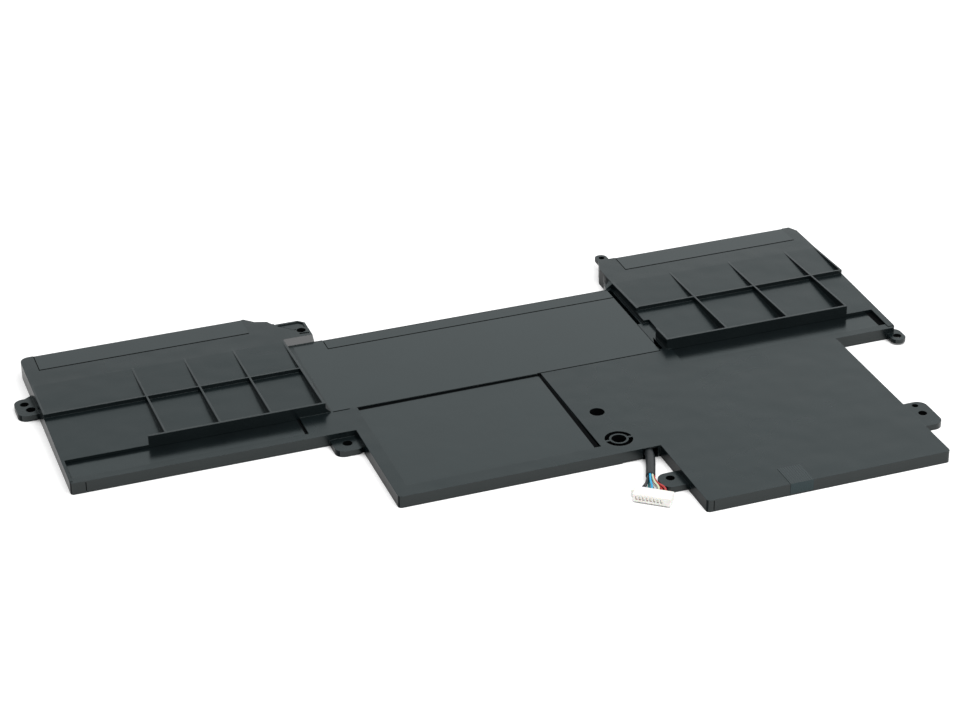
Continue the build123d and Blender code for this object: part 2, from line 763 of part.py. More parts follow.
def make_link(y):
    """A nickel strip from the left cell's tab over the middle cell to the board."""
    low = tab_bottom
    high = cell_top + link_clearance
    thick = tab_thickness
    run = link_slope
    left = middle_left - 2 * tab_lap
    rise = middle_left + wall / 2
    fall = middle_cell_right + partition + tab_slot
    end = board_x[0] + tab_lap
    under = [(left, low + thick), (rise - run, low + thick), (rise, high), (fall, high), (fall + run, low),
             (end, low)]
    over = [(end, low + thick), (fall + run + thick, low + thick), (fall + thick, high + thick),
            (rise - thick, high + thick), (rise - run - thick, low + 2 * thick), (left, low + 2 * thick)]
    return prism_y((y - tab_width / 2, y + tab_width / 2), under + over)


def on_board(share, size):
    """A component's body standing on the board, its middle at shares of the board's width and depth."""
    x = board_x[0] + share[0] * (board_x[1] - board_x[0])
    y = board_y[0] + share[1] * (board_y[1] - board_y[0])
    return Pos(x, y, board_top + size[2] / 2) * Box(*size)


def make_board():
    """The protection board with its chips and pads."""
    inset = board_foam_inset
    board = block(board_x, board_y, (board_top - board_thickness, board_top))
    foam_x = (board_x[0] + inset, board_x[1] - inset)
    foam_y = (board_y[0] + inset, board_y[1] - inset)
    switches = [on_board((share, 0.355), (3.3, 3.3, 0.9)) for share in (0.68, 0.81)]
    small = [on_board((share, 0.82), (0.6, 1.1, 0.6)) for share in (0.21, 0.26, 0.31, 0.36, 0.41, 0.46)]
    small += [on_board((share, 0.82), (0.6, 1.1, 0.6)) for share in (0.6, 0.65, 0.7, 0.75)]
    return {
        "board": board,
        "board_foam": block(foam_x, foam_y, (base_film, board_top - board_thickness)),
        "gauge_chip": on_board((0.4, 0.55), gauge_chip_size),
        "power_switches": Compound(children=switches),
        "sense_resistor": on_board((0.55, 0.2), (3.2, 1.6, 0.6)),
        "thermal_fuse": on_board((0.72, 0.57), (6.0, 3.2, 1.1)),
        "small_capacitors": Compound(children=small),
        "thermistor": on_board((0.17, 0.93), (1.6, 0.9, 0.9)),
    }


def tube(points, radius, bore=0.0):
    """A round tube along straight runs joined by tangent arcs, with the arcs' radii."""
    corners = [Vector(*point) for point in points]
    radii = []
    for before, corner, after in zip(corners, corners[1:], corners[2:]):
        first, second = corner - before, after - corner
        half_turn = first.get_angle(second) / 2 * pi / 180
        radii.append(0.45 * min(first.length, second.length) / tan(half_turn))
    path = FilletPolyline(*points, radius=radii) if radii else Polyline(*points)
    start = Plane(origin=path @ 0, z_dir=path % 0)
    ring = start * Circle(radius)
    if bore:
        ring -= start * Circle(bore)
    return sweep(ring, path=path), path, radii


def side_vector(points, i):
    """The level direction across a route at one of its points."""
    before = points[max(i - 1, 0)]
    after = points[min(i + 1, len(points) - 1)]
    along = Vector(after[0] - before[0], after[1] - before[1], 0).normalized()
    return Vector(-along.Y, along.X, 0)


def bundle_places():
    """Where the eight wires lie in the sleeve, across and up, ordered from one side to the other."""
    angles = [bundle_turn + 45.0 * i for i in range(8)]
    places = [(bundle_radius * cos(a * pi / 180), bundle_radius * sin(a * pi / 180)) for a in angles]
    return sorted(places)


def wire_offset(i):
    """How far along the connector's back a wire enters, from its middle."""
    return wire_pitch * (i - 3.5) + wire_shift


def wire_route(place, i):
    """Corners of one wire's route from the clamp to the connector."""
    across, up = place
    points = []
    for k, (x, y, z) in enumerate(cable_route):
        side = side_vector(cable_route, k) if k else Vector(1, 0, 0)
        points.append((x + side.X * across, y + side.Y * across, z + up))
    turn = connector_turn * pi / 180
    wide = Vector(cos(turn), sin(turn), 0)
    ahead = Vector(sin(turn), -cos(turn), 0)
    level = Vector(0, 0, wire_stagger if up > 0 else -wire_stagger)
    end = Vector(*connector_back) + wide * wire_offset(i) + level
    straight = wire_straight[0] + (wire_straight[1] - wire_straight[0]) * i / 7
    near = end - ahead * straight
    points.append((near.X, near.Y, near.Z))
    points.append((end.X, end.Y, end.Z))
    return points


def sleeve_route():
    """Corners of the sleeve's route, which is the cable's own over the sleeve's length."""
    corners = [Vector(*point) for point in cable_route]
    left = sleeve_length
    route = [corners[0] + (corners[1] - corners[0]).normalized() * sleeve_start]
    for before, after in zip(corners, corners[1:]):
        run = (after - before).length
        if left <= run:
            route.append(before + (after - before) * (left / run))
            break
        route.append(after)
        left -= run
    return [(point.X, point.Y, point.Z) for point in route]


wire_names = ["black_1", "black_2", "green", "blue", "white", "yellow", "red_1", "red_2"]


def make_cable():
    """The eight wires, their sleeve, the clamp inside the mouth and the leads to the board."""
    made = {}
    for i, place in enumerate(bundle_places()):
        points = wire_route(place, i)
        solid, path, radii = tube(points, wire_diameter / 2)
        made["wire_" + wire_names[i]] = solid
        expected = pi * (wire_diameter / 2) ** 2 * path.length
        print("wire", wire_names[i], "length", round(path.length, 2), "volume ratio",
              round(solid.volume / expected, 4), "radii", [round(r, 1) for r in radii])
        print("  route", [tuple(round(c, 3) for c in point) for point in points])
    x, y, z = cable_route[0]
    made["cable_sleeve"] = tube(sleeve_route(), sleeve_diameter / 2, sleeve_bore / 2)[0]
    print("sleeve", [tuple(round(c, 3) for c in point) for point in sleeve_route()])
    clamp_x = (ring_boss[0] + ring_slot_radius + boss_wall + boss_clearance, panel_left - wall)
    clamp_z = (base_film + boss_clearance, skin_under - boss_clearance)
    made["cable_clamp"] = block(clamp_x, (y, y + clamp_length), clamp_z)
    leads = []
    pads = []
    low = board_top + wire_pad + wire_diameter / 2
    high = low + lead_pitch + film
    y0 = board_y[0]
    reach = y0 + tab_lap - 1.0
    for i in range(4):
        at = x + lead_pitch * (i - 1.5)
        leads.append(tube([(at, y + clamp_length, low), (at, reach, low)], wire_diameter / 2)[0])
        second = [(at, y + clamp_length, high), (at, reach + 1.0, high), (at, reach + 3.4, low),
                  (at, reach + 5.0, low)]
        leads.append(tube(second, wire_diameter / 2)[0])
        pad_x = (at - 0.25, at + 0.25)
        pads.append(block(pad_x, (y0 + weld_pad_inset, reach + 0.2), (board_top, board_top + wire_pad)))
        pads.append(block(pad_x, (reach + 3.0, reach + 5.2), (board_top, board_top + wire_pad)))
    made["board_leads"] = Compound(children=leads)
    made["wire_pads"] = Compound(children=pads)
    return made


def make_connector():
    """The crimp connector: eight slots along its front, a lug on its left and its contacts."""
    width, depth, height = connector_size
    body = Pos(0, -depth / 2, 0) * Box(width, depth, height)
    body = fillet(body.edges().filter_by(Axis.Z), 0.3)
    lug = Pos(-width / 2 - 0.5, -1.0, -0.3) * Box(1.4, 1.6, height - 0.6)
    body += lug
    contacts = []
    for i in range(8):
        at = wire_offset(i)
        slot = Pos(at, -depth + contact_slot[1] / 2 - slot_overcut, 0) * Box(*contact_slot)
        dash = Pos(at, -depth, height / 2) * Box(0.45, 0.5, 0.3)
        body = body - slot - dash
        middle = -depth + contact_slot[1] - contact_size[1] / 2 - slot_overcut
        contacts.append(Pos(at, middle, 0) * Box(*contact_size))
    place = Pos(*connector_back) * Rot(0, 0, connector_turn)
    return {"connector_housing": place * body, "contacts": place * Compound(children=contacts)}


def make_foam():
    """Foam wedges that fill the space between the cells and the blocks' floor."""
    left, right = foam_bounds()
    return {"foam_left": foam_space(*left, foam_gap), "foam_right": foam_space(*right, foam_gap)}


def make_tape():
    """The short tape folded over the front edge of the large panel."""
    x = (panel_left + tape_start, panel_left + tape_start + tape_width)
    thick = tape_thickness
    top = block(x, (panel_front - thick, panel_front + tape_lap), (flat_height, flat_height + thick))
    return top + block(x, (panel_front - thick, panel_front), (flat_height - tape_drop, flat_height + thick))


def make_pack():
    """Every piece by name, in the plan's own coordinates."""
    pieces = {"housing": make_housing(), "base_film": make_base_film()}
    pieces.update(make_films())
    pieces.update(make_window_films())
    pieces["tape_tab"] = make_tape()
    pieces.update(make_cells())
    pieces.update(make_foam())
    pieces.update(make_tabs())
    for name, y in zip(("link_positive", "link_negative"), link_places):
        pieces[name] = make_link(y)
    pieces.update(make_board())
    pieces.update(make_cable())
    pieces.update(make_connector())
    return pieces


pieces = make_pack()
cable_names = ["cable_sleeve", "connector_housing", "contacts"] + ["wire_" + name for name in wire_names]
boxes = [piece.bounding_box() for name, piece in pieces.items() if name not in cable_names]
middle_x = (min(b.min.X for b in boxes) + max(b.max.X for b in boxes)) / 2
middle_y = (min(b.min.Y for b in boxes) + max(b.max.Y for b in boxes)) / 2
lowest = min(b.min.Z for b in boxes)
print("moved by", round(-middle_x, 4), round(-middle_y, 4), round(-lowest, 4))
os.makedirs("parts", exist_ok=True)
for name, piece in pieces.items():
    export_step(Pos(-middle_x, -middle_y, -lowest) * piece, "parts/" + name + ".step")
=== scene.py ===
import json
from math import cos, radians, sin

import bmesh
import bpy
from bpy.props import FloatProperty, FloatVectorProperty, PointerProperty, StringProperty
from mathutils import Matrix, Vector


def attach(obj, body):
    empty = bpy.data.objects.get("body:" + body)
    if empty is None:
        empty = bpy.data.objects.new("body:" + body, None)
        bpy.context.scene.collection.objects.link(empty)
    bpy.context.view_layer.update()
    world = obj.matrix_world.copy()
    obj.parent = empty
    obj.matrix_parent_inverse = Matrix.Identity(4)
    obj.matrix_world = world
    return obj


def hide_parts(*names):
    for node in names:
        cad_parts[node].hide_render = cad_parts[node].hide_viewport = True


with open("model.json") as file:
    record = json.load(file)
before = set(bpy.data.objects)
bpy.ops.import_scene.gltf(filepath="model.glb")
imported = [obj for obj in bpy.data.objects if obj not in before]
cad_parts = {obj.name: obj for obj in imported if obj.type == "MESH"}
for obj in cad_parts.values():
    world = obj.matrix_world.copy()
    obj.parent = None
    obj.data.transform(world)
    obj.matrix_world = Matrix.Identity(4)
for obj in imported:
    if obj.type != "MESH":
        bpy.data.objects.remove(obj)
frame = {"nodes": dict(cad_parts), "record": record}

bl_info = {
    "name": "Laptop battery pack",
    "version": (1, 0, 0),
    "blender": (4, 5, 0),
    "location": "View3D > Sidebar > Battery pack",
    "description": "Finishes, cable and studio for the ribbed laptop battery pack",
    "category": "Object",
}

MM = 0.001
WHITE = (1.0, 1.0, 1.0, 1.0)

# Material slots of the housing's mesh, in the order in which they are added.
PLAIN, UNLIT, PAINTED_HIGHLIGHT, FRONT, PAINTED_SHADE_SIDE = range(5)
RING_SLOT_REACH = 5.0 * MM  # from the ring's axis to past the slot round it
BORE_MARGIN = 0.1 * MM  # what counts as a bore's wall, past its radius
BORE_LIP = 0.05 * MM  # left bright at the top of each bore
BRACKET_REACH = 15.0 * MM  # how far the bracket's slope lies from the strip's left end

# The matt black strips of painted shade in the gaps round the films.
STRIP_THICKNESS = 0.05 * MM
FILM_GAP = 0.25 * MM
GAP_EXTRA = 0.25 * MM  # along X the gaps are drawn this much wider so that they show
GAP_LIFT = 0.02 * MM  # how far a strip's face lies above or below the film beside it
SEAM_WIDTH = 0.3 * MM
# Widths of the painted shadow at the foot of the middle recess's back wall, and of the painted shade in
# the slit right of it.
FOOT_LEFT, FOOT_RIGHT = 1.3 * MM, 0.8 * MM
SLIT_BACK, SLIT_FRONT = 0.7 * MM, 1.5 * MM
SLIT_LIFT = 0.05 * MM
WINDOW_INSET = 1.3 * MM  # how far the housing covers a window film's front edge
# Widths of the painted shade at the right ends of the left and right window films.
WINDOW_GAPS = {"window_film_left": 0.88 * MM, "window_film_right": 1.98 * MM}

# The mould's split shows on the front walls, this far right of where each node begins.
SPLIT_PLACES = {"window_film_left": 3.5 * MM, "cell_front": 0.9 * MM}
SPLIT_HALF_WIDTH = 0.14 * MM
SPLIT_LIFT = 0.01 * MM
SPLIT_BOTTOM, SPLIT_TOP = 0.6 * MM, 3.75 * MM
FRONT_WALL_HEIGHT = 2.2 * MM

# Corners of each wire from the clamp inside the mouth to the back of the connector, in metres.
WIRE_ROUTES = {
    "wire_black_1": (
        (0.034078, -0.035950, 0.001767), (0.034082, -0.041861, 0.001767), (0.032917, -0.048086, 0.001917),
        (0.030453, -0.053985, 0.002117), (0.027057, -0.061678, 0.001917), (0.024338, -0.063620, 0.001500),
        (0.023421, -0.064806, 0.001500),
    ),
    "wire_black_2": (
        (0.034218, -0.035950, 0.002472), (0.034222, -0.041875, 0.002472), (0.033051, -0.048127, 0.002622),
        (0.030582, -0.054041, 0.002822), (0.027185, -0.061734, 0.002622), (0.025331, -0.064134, 0.002000),
        (0.024291, -0.065479, 0.002000),
    ),
    "wire_green": (
        (0.034478, -0.035950, 0.001168), (0.034480, -0.041900, 0.001168), (0.033300, -0.048201, 0.001318),
        (0.030820, -0.054143, 0.001518), (0.027422, -0.061839, 0.001318), (0.026323, -0.064648, 0.001500),
        (0.025162, -0.066152, 0.001500),
    ),
    "wire_blue": (
        (0.034817, -0.035950, 0.002872), (0.034817, -0.041932, 0.002872), (0.033624, -0.048298, 0.003022),
        (0.031132, -0.054277, 0.003222), (0.027732, -0.061976, 0.003022), (0.027316, -0.065163, 0.002000),
        (0.026032, -0.066824, 0.002000),
    ),
    "wire_white": (
        (0.035183, -0.035950, 0.001028), (0.035183, -0.041968, 0.001028), (0.033976, -0.048402, 0.001178),
        (0.031468, -0.054423, 0.001378), (0.028068, -0.062124, 0.001178), (0.028309, -0.065677, 0.001500),
        (0.026902, -0.067497, 0.001500),
    ),
    "wire_yellow": (
        (0.035522, -0.035950, 0.002732), (0.035520, -0.042000, 0.002732), (0.034300, -0.048499, 0.002882),
        (0.031780, -0.054557, 0.003082), (0.028378, -0.062261, 0.002882), (0.029301, -0.066192, 0.002000),
        (0.027773, -0.068170, 0.002000),
    ),
    "wire_red_1": (
        (0.035782, -0.035950, 0.001428), (0.035778, -0.042025, 0.001428), (0.034549, -0.048573, 0.001578),
        (0.032018, -0.054659, 0.001778), (0.028615, -0.062366, 0.001578), (0.030294, -0.066706, 0.001500),
        (0.028643, -0.068842, 0.001500),
    ),
    "wire_red_2": (
        (0.035922, -0.035950, 0.002133), (0.035918, -0.042039, 0.002133), (0.034683, -0.048614, 0.002283),
        (0.032147, -0.054715, 0.002483), (0.028743, -0.062422, 0.002283), (0.031287, -0.067221, 0.002000),
        (0.029513, -0.069515, 0.002000),
    ),
}

SLEEVE_ROUTE = (
    (0.035000, -0.036250, 0.001950), (0.035000, -0.041950, 0.001950), (0.033800, -0.048350, 0.002100),
    (0.031300, -0.054350, 0.002300), (0.029045, -0.059456, 0.002167),
)


def linear(hex_colour):
    """An sRGB hex colour as linear red, green, blue and alpha."""
    values = [int(hex_colour[i:i + 2], 16) / 255 for i in (1, 3, 5)]
    return [v / 12.92 if v <= 0.04045 else ((v + 0.055) / 1.055) ** 2.4 for v in values] + [1.0]


def add_node(tree, kind, values=None, links=None, **settings):
    """Adds a shader node with its settings, socket values and incoming links."""
    node = tree.nodes.new(kind)
    for name, value in settings.items():
        setattr(node, name, value)
    for socket, value in (values or {}).items():
        node.inputs[socket].default_value = value
    for socket, source in (links or {}).items():
        tree.links.new(source, node.inputs[socket])
    return node


def new_material(name):
    """An empty material with its shader and output, and its object coordinates in metres."""
    material = bpy.data.materials.new(name)
    material.use_nodes = True
    tree = material.node_tree
    tree.nodes.clear()
    shader = add_node(tree, "ShaderNodeBsdfPrincipled")
    add_node(tree, "ShaderNodeOutputMaterial", links={"Surface": shader.outputs["BSDF"]})
    place = add_node(tree, "ShaderNodeTexCoord").outputs["Object"]
    return material, tree, shader, place


def noise(tree, place, size_mm, detail=2.0):
    """Noise whose features are about size_mm across."""
    values = {"Scale": 1 / (size_mm * MM), "Detail": detail}
    return add_node(tree, "ShaderNodeTexNoise", values, {"Vector": place}).outputs["Fac"]


def shades(tree, shader, factor, dark, light):
    """Colours the shader between two hex values by a factor."""
    ramp = add_node(tree, "ShaderNodeValToRGB", links={"Fac": factor})
    for stop, position, colour in zip(ramp.color_ramp.elements, (0.3, 0.7), (dark, light)):
        stop.position = position
        stop.color = linear(colour)
    tree.links.new(ramp.outputs["Color"], shader.inputs["Base Color"])


def rough_between(tree, shader, factor, low, high):
    """Spreads the shader's roughness between two values by a factor."""
    values = {"To Min": low, "To Max": high}
    spread = add_node(tree, "ShaderNodeMapRange", values, {"Value": factor})
    tree.links.new(spread.outputs["Result"], shader.inputs["Roughness"])


def relief(tree, shader, height, depth_mm, strength=1.0, under=None):
    """Bumps the shader's surface by a height field of a real depth, over another normal if given."""
    values = {"Strength": strength, "Distance": depth_mm * MM}
    links = {"Height": height}
    if under is not None:
        links["Normal"] = under
    bump = add_node(tree, "ShaderNodeBump", values, links)
    tree.links.new(bump.outputs["Normal"], shader.inputs["Normal"])
    return bump.outputs["Normal"]


def grained(name, size_mm, colours, rough, depth_mm, strength=0.4, detail=2.0):
    """A material whose colour, roughness and relief follow one noise, and its shader."""
    material, tree, shader, place = new_material(name)
    grain = noise(tree, place, size_mm, detail)
    shades(tree, shader, grain, *colours)
    rough_between(tree, shader, grain, *rough)
    relief(tree, shader, grain, depth_mm, strength)
    return material, shader


def moulded_pc_abs(looks, name, tint, gloss=0.5):
    """Injection-moulded black PC-ABS: near-black, with a satin skin that mirrors pale surroundings."""
    material, tree, shader, place = new_material(name)
    shader.inputs["IOR"].default_value = looks.housing_ior
    # The tint paints a colour on the reflections: a painted reflection colour.
    shader.inputs["Specular Tint"].default_value = linear(tint)
    shader.inputs["Specular IOR Level"].default_value = gloss
    flow = noise(tree, place, size_mm=26.0, detail=3.0)
    shades(tree, shader, flow, looks.housing_dark, looks.housing_light)
    rough_between(tree, shader, flow, looks.housing_roughness - 0.03, looks.housing_roughness + 0.04)
    # Worn mould edges leave about 0.15 mm of radius, which catches a thin line of light.
    soft = add_node(tree, "ShaderNodeBevel", {"Radius": 0.15 * MM}, samples=4).outputs["Normal"]
    # Sink marks over the walls below make the flats gently uneven.
    sinks = noise(tree, place, size_mm=11.0, detail=1.0)
    uneven = relief(tree, shader, sinks, looks.housing_waves, under=soft)
    # The mould's spark grain is about 0.1 mm wide; it is drawn at 0.35 mm so that it shows.
    grain = noise(tree, place, size_mm=0.35)
    relief(tree, shader, grain, depth_mm=0.004, strength=0.5, under=uneven)
    return material


def new_polyester(looks, name):
    """An empty material with the refractive index of black polyester and a painted tint on its sheen."""
    material, tree, shader, place = new_material(name)
    shader.inputs["IOR"].default_value = looks.film_ior
    shader.inputs["Specular Tint"].default_value = linear(looks.sheen_tint)
    return material, tree, shader, place


def polyester_film(looks):
    """Black polyester film: smoother than the moulding, so that it mirrors its surroundings sharply."""
    material, tree, shader, place = new_polyester(looks, "black polyester film")
    ripple = noise(tree, place, size_mm=14.0)
    shades(tree, shader, ripple, "#090f11", "#0c1315")
    rough_between(tree, shader, ripple, looks.film_roughness, looks.film_roughness + 0.05)
    relief(tree, shader, ripple, depth_mm=0.01, strength=0.4)
    return material


def pocket_film(looks):
    """The films that lie on the cells: a soft black polyester that blurs what it mirrors."""
    material, tree, shader, place = new_polyester(looks, "black cell film")
    ripple = noise(tree, place, size_mm=9.0)
    shades(tree, shader, ripple, "#080d0f", "#0b1113")
    rough_between(tree, shader, ripple, 0.19, 0.25)
    relief(tree, shader, ripple, depth_mm=0.06)
    return material


def polyester_tape(looks):
    """Black satin tape with the fine stretch lines of its backing."""
    material, tree, shader, place = new_polyester(looks, "satin polyester tape")
    stretch = {"Scale": 1 / (2.5 * MM), "Distortion": 2.0}
    lines = add_node(tree, "ShaderNodeTexWave", stretch, {"Vector": place}).outputs["Fac"]
    shades(tree, shader, lines, "#0a0f12", "#0e1417")
    rough_between(tree, shader, lines, 0.24, 0.3)
    relief(tree, shader, lines, depth_mm=0.004, strength=0.3)
    return material


def shadow_black():
    """Matt black that paints the shade in the narrow gaps round the films and in the bores, and the dark
    line of the mould's split.
    """
    material, shader = grained("painted shade and seam black", size_mm=0.3, colours=("#030405", "#060809"),
                               rough=(0.85, 0.95), depth_mm=0.01, strength=0.5)
    shader.inputs["Specular IOR Level"].default_value = 0.05
    return material


def foil_laminate():
    """Pouch laminate: aluminium foil under black nylon, with the press's fine orange peel."""
    return grained("black nylon pouch laminate", size_mm=1.2, colours=("#141719", "#1c2022"),
                   rough=(0.42, 0.52), depth_mm=0.01)[0]


def acrylic_adhesive():
    """Milky acrylic transfer tape, soft and slightly uneven."""
    return grained("acrylic transfer tape", size_mm=4.0, colours=("#d3d0c6", "#dedbd2"),
                   rough=(0.5, 0.6), depth_mm=0.01)[0]


def cellular_foam():
    """Closed-cell polyethylene foam: matt black with open cells on its cut faces."""
    material, tree, shader, place = new_material("closed-cell polyethylene foam")
    cells = add_node(tree, "ShaderNodeTexVoronoi", {"Scale": 1 / (0.4 * MM)}, {"Vector": place})
    shades(tree, shader, cells.outputs["Distance"], "#161616", "#232323")
    shader.inputs["Roughness"].default_value = 0.9
    relief(tree, shader, cells.outputs["Distance"], depth_mm=0.08, strength=0.7)
    return material


def rolled_nickel():
    """Cold-rolled nickel strip with fine lines along its length."""
    material, tree, shader, place = new_material("rolled nickel strip")
    shader.inputs["Metallic"].default_value = 1.0
    stretched = add_node(tree, "ShaderNodeMapping", {"Scale": (1.0, 12.0, 12.0)}, {"Vector": place})
    lines = noise(tree, stretched.outputs["Vector"], size_mm=2.4, detail=3.0)
    shades(tree, shader, lines, "#b7b0a4", "#cac4b8")
    rough_between(tree, shader, lines, 0.24, 0.36)
    relief(tree, shader, lines, depth_mm=0.003, strength=0.4)
    return material


def solder_mask():
    """Green solder mask over a glass-epoxy board, its weave faintly showing."""
    material, tree, shader, place = new_material("green solder mask")
    weave = add_node(tree, "ShaderNodeTexWave", {"Scale": 1 / (0.6 * MM)}, {"Vector": place})
    shades(tree, shader, weave.outputs["Fac"], "#1b5a34", "#20653b")
    shader.inputs["Roughness"].default_value = 0.3
    relief(tree, shader, weave.outputs["Fac"], depth_mm=0.004, strength=0.4)
    return material


def epoxy_resin():
    """Moulded epoxy chip bodies: matt black with the mould's fine sparkle."""
    return grained("moulded epoxy resin", size_mm=0.2, colours=("#1b1b1c", "#242425"),
                   rough=(0.5, 0.62), depth_mm=0.01, strength=0.5)[0]


def fired_ceramic():
    """Fired tan ceramic of chip capacitors."""
    return grained("fired ceramic", size_mm=0.15, colours=("#8f6f4e", "#a17f5c"),
                   rough=(0.4, 0.5), depth_mm=0.004)[0]


def tin_plate():
    """Bright tin plate on copper."""
    material, shader = grained("tin-plated copper", size_mm=0.3, colours=("#c3bfb6", "#d4d0c8"),
                               rough=(0.22, 0.34), depth_mm=0.002)
    shader.inputs["Metallic"].default_value = 1.0
    return material


def heatshrink_tubing(looks):
    """Shrunk polyolefin tubing: dark grey satin, faintly wrinkled over the wires."""
    colours = (looks.sleeve_dark, looks.sleeve_light)
    material, shader = grained("shrunk polyolefin tubing", size_mm=1.6, colours=colours,
                               rough=(0.42, 0.52), depth_mm=0.05, strength=0.6, detail=3.0)
    shader.inputs["Specular IOR Level"].default_value = 0.35
    return material


def pvc_insulation(name, dark, light):
    """Extruded PVC wire insulation with soft streaks and a low sheen."""
    return grained(name + " PVC insulation", size_mm=1.0, colours=(dark, light),
                   rough=(0.34, 0.44), depth_mm=0.01)[0]


def moulded_nylon(looks):
    """Moulded off-white nylon: slightly translucent, soft highlights."""
    colours = (looks.nylon_dark, looks.nylon_light)
    material, shader = grained("moulded nylon 66", size_mm=3.0, colours=colours,
                               rough=(0.36, 0.46), depth_mm=0.006)
    shader.inputs["Subsurface Weight"].default_value = 0.15
    shader.inputs["Subsurface Scale"].default_value = 0.6 * MM
    return material


def finish_nodes(names, material):
    """Gives CAD nodes one material."""
    for name in names:
        node = frame["nodes"][name]
        node.data.materials.clear()
        node.data.materials.append(material)


def node_box(name):
    """Lowest and highest corner of a CAD node, in metres."""
    node = frame["nodes"][name]
    corners = [node.matrix_world @ Vector(corner) for corner in node.bound_box]
    low = Vector([min(c[i] for c in corners) for i in range(3)])
    high = Vector([max(c[i] for c in corners) for i in range(3)])
    return low, high


def darken_bores(name, material):
    """Paints the walls of the screw holes and of the ring's slot matt black: painted shade, as little
    light reaches into them.
    """
    node = frame["nodes"][name]
    node.data.materials.append(material)
    bores = [mount for mount in frame["record"]["mounts"] if mount["kind"] == "bore"]
    for face in node.data.polygons:
        centre = node.matrix_world @ face.center
        for bore in bores:
            reach = bore["dims"]["r_mm"] * MM + BORE_MARGIN
            if bore["name"] == "ring_pocket":
                reach = RING_SLOT_REACH
            top = bore["pos_m"][2] + bore["dims"]["length_mm"] / 2 * MM - BORE_LIP
            away = (centre.xy - Vector(bore["pos_m"]).xy).length
            if away < reach and centre.z < top:
                face.material_index = UNLIT


def dress_walls(name, looks):
    """Gives the housing's walls and the bracket's slope a sheen by which way they face: painted highlight,
    painted reflection colour and painted shade.
    """
    node = frame["nodes"][name]
    slots = node.data.materials
    # The bracket's slope gets a paler, neutral sheen: a painted highlight.
    slots.append(moulded_pc_abs(looks, "PC-ABS with painted highlight", "#ffffff"))
    # Front and back walls get a near-neutral tint on their sheen: a painted reflection colour.
    slots.append(moulded_pc_abs(looks, "PC-ABS front walls", looks.wall_tint))
    # The walls that face along X get a very low specular level, so that they hardly shine: painted shade.
    slots.append(moulded_pc_abs(looks, "PC-ABS side walls with painted shade", looks.wall_tint, looks.side_gloss))
    strip_low, strip_high = node_box("strip_film")
    for face in node.data.polygons:
        if face.material_index != PLAIN:
            continue
        centre = node.matrix_world @ face.center
        turned = (node.matrix_world.to_3x3() @ face.normal).normalized()
        by_bracket = abs(centre.x - strip_low.x) < BRACKET_REACH and centre.y > strip_high.y
        slopes_forward = -0.9 < turned.y < -0.3 and turned.z > 0.3
        faces_aside = abs(turned.x) > 0.7
        faces_up = turned.z >= 0.5
        if by_bracket and slopes_forward:
            face.material_index = PAINTED_HIGHLIGHT
        elif faces_aside:
            face.material_index = PAINTED_SHADE_SIDE
        elif not faces_up:
            face.material_index = FRONT


def flat_pieces(name, outlines, material):
    """One mesh of thin closed strips, each given by the corners of its outer face."""
    mesh = bpy.data.meshes.new(name)
    sheet = bmesh.new()
    for outline in outlines:
        outer = [Vector(corner) for corner in outline]
        normal = (outer[1] - outer[0]).cross(outer[2] - outer[1]).normalized()
        front = [sheet.verts.new(corner) for corner in outer]
        back = [sheet.verts.new(corner - normal * STRIP_THICKNESS) for corner in outer]
        sheet.faces.new(front)
        sheet.faces.new(list(reversed(back)))
        for i, corner in enumerate(front):
            after = (i + 1) % len(front)
            sheet.faces.new([front[after], corner, back[i], back[after]])
    sheet.to_mesh(mesh)
    sheet.free()
    mesh.materials.append(material)
    piece = bpy.data.objects.new(name, mesh)
    bpy.context.scene.collection.objects.link(piece)
    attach(piece, "root")
    return piece


def level_face(x, y, z):
    """Corners of a level rectangle."""
    return [(x[0], y[0], z), (x[1], y[0], z), (x[1], y[1], z), (x[0], y[1], z)]


def front_wall(x):
    """How far forward the housing's front wall lies at a place along X."""
    housing = frame["nodes"]["housing"]
    turn = housing.matrix_world.inverted()
    start = turn @ Vector((x, -0.5, FRONT_WALL_HEIGHT))
    spot = housing.ray_cast(start, turn.to_3x3() @ Vector((0, 1, 0)))[1]
    return (housing.matrix_world @ spot).y


def edge_film_gaps():
    """Painted shade: black strips in the gaps along the front and the left end of each edge film."""
    outlines = []
    for name in ("edge_film_left", "edge_film_middle", "edge_film_right"):
        low, high = node_box(name)
        z = high.z + GAP_LIFT
        outlines.append(level_face((low.x - FILM_GAP, high.x), (low.y - FILM_GAP, low.y + GAP_EXTRA), z))
        outlines.append(level_face((low.x - FILM_GAP, low.x + GAP_LIFT), (low.y, high.y), z))
    return outlines


def strip_seams():
    """Painted shade along the strip's front seam, right and left of the middle window."""
    strip_low, strip_high = node_box("strip_film")
    middle_low, middle_high = node_box("window_film_middle")
    across = (strip_low.y - SEAM_WIDTH, strip_low.y + SEAM_WIDTH / 2)
    z = strip_high.z + GAP_LIFT
    return [level_face((middle_high.x, strip_high.x), across, z),
            level_face((strip_low.x, middle_low.x), across, z)]


def middle_recess_gaps():
    """Painted shadow and reflection of the middle recess's back wall along its tapered foot, and painted
    shade in the tapered slit on its right.
    """
    front = node_box("strip_film")[0].y
    low, high = node_box("window_film_middle")
    foot_z = high.z + GAP_LIFT
    foot = [(low.x, front - FOOT_LEFT, foot_z), (high.x, front - FOOT_RIGHT, foot_z),
            (high.x, front, foot_z), (low.x, front, foot_z)]
    slit_end = low.y + WINDOW_INSET
    slit_z = high.z + SLIT_LIFT
    slit = [(high.x, slit_end, slit_z), (high.x + SLIT_FRONT, slit_end, slit_z),
            (high.x + SLIT_BACK, front, slit_z), (high.x, front, slit_z)]
    return [foot, slit]


def window_end_gaps():
    """Painted shade in the gaps at the right ends of the left and the right window's film."""
    outlines = []
    for name, width in WINDOW_GAPS.items():
        low, high = node_box(name)
        across = (low.y + WINDOW_INSET, high.y)
        outlines.append(level_face((high.x, high.x + width), across, high.z - GAP_LIFT))
    return outlines


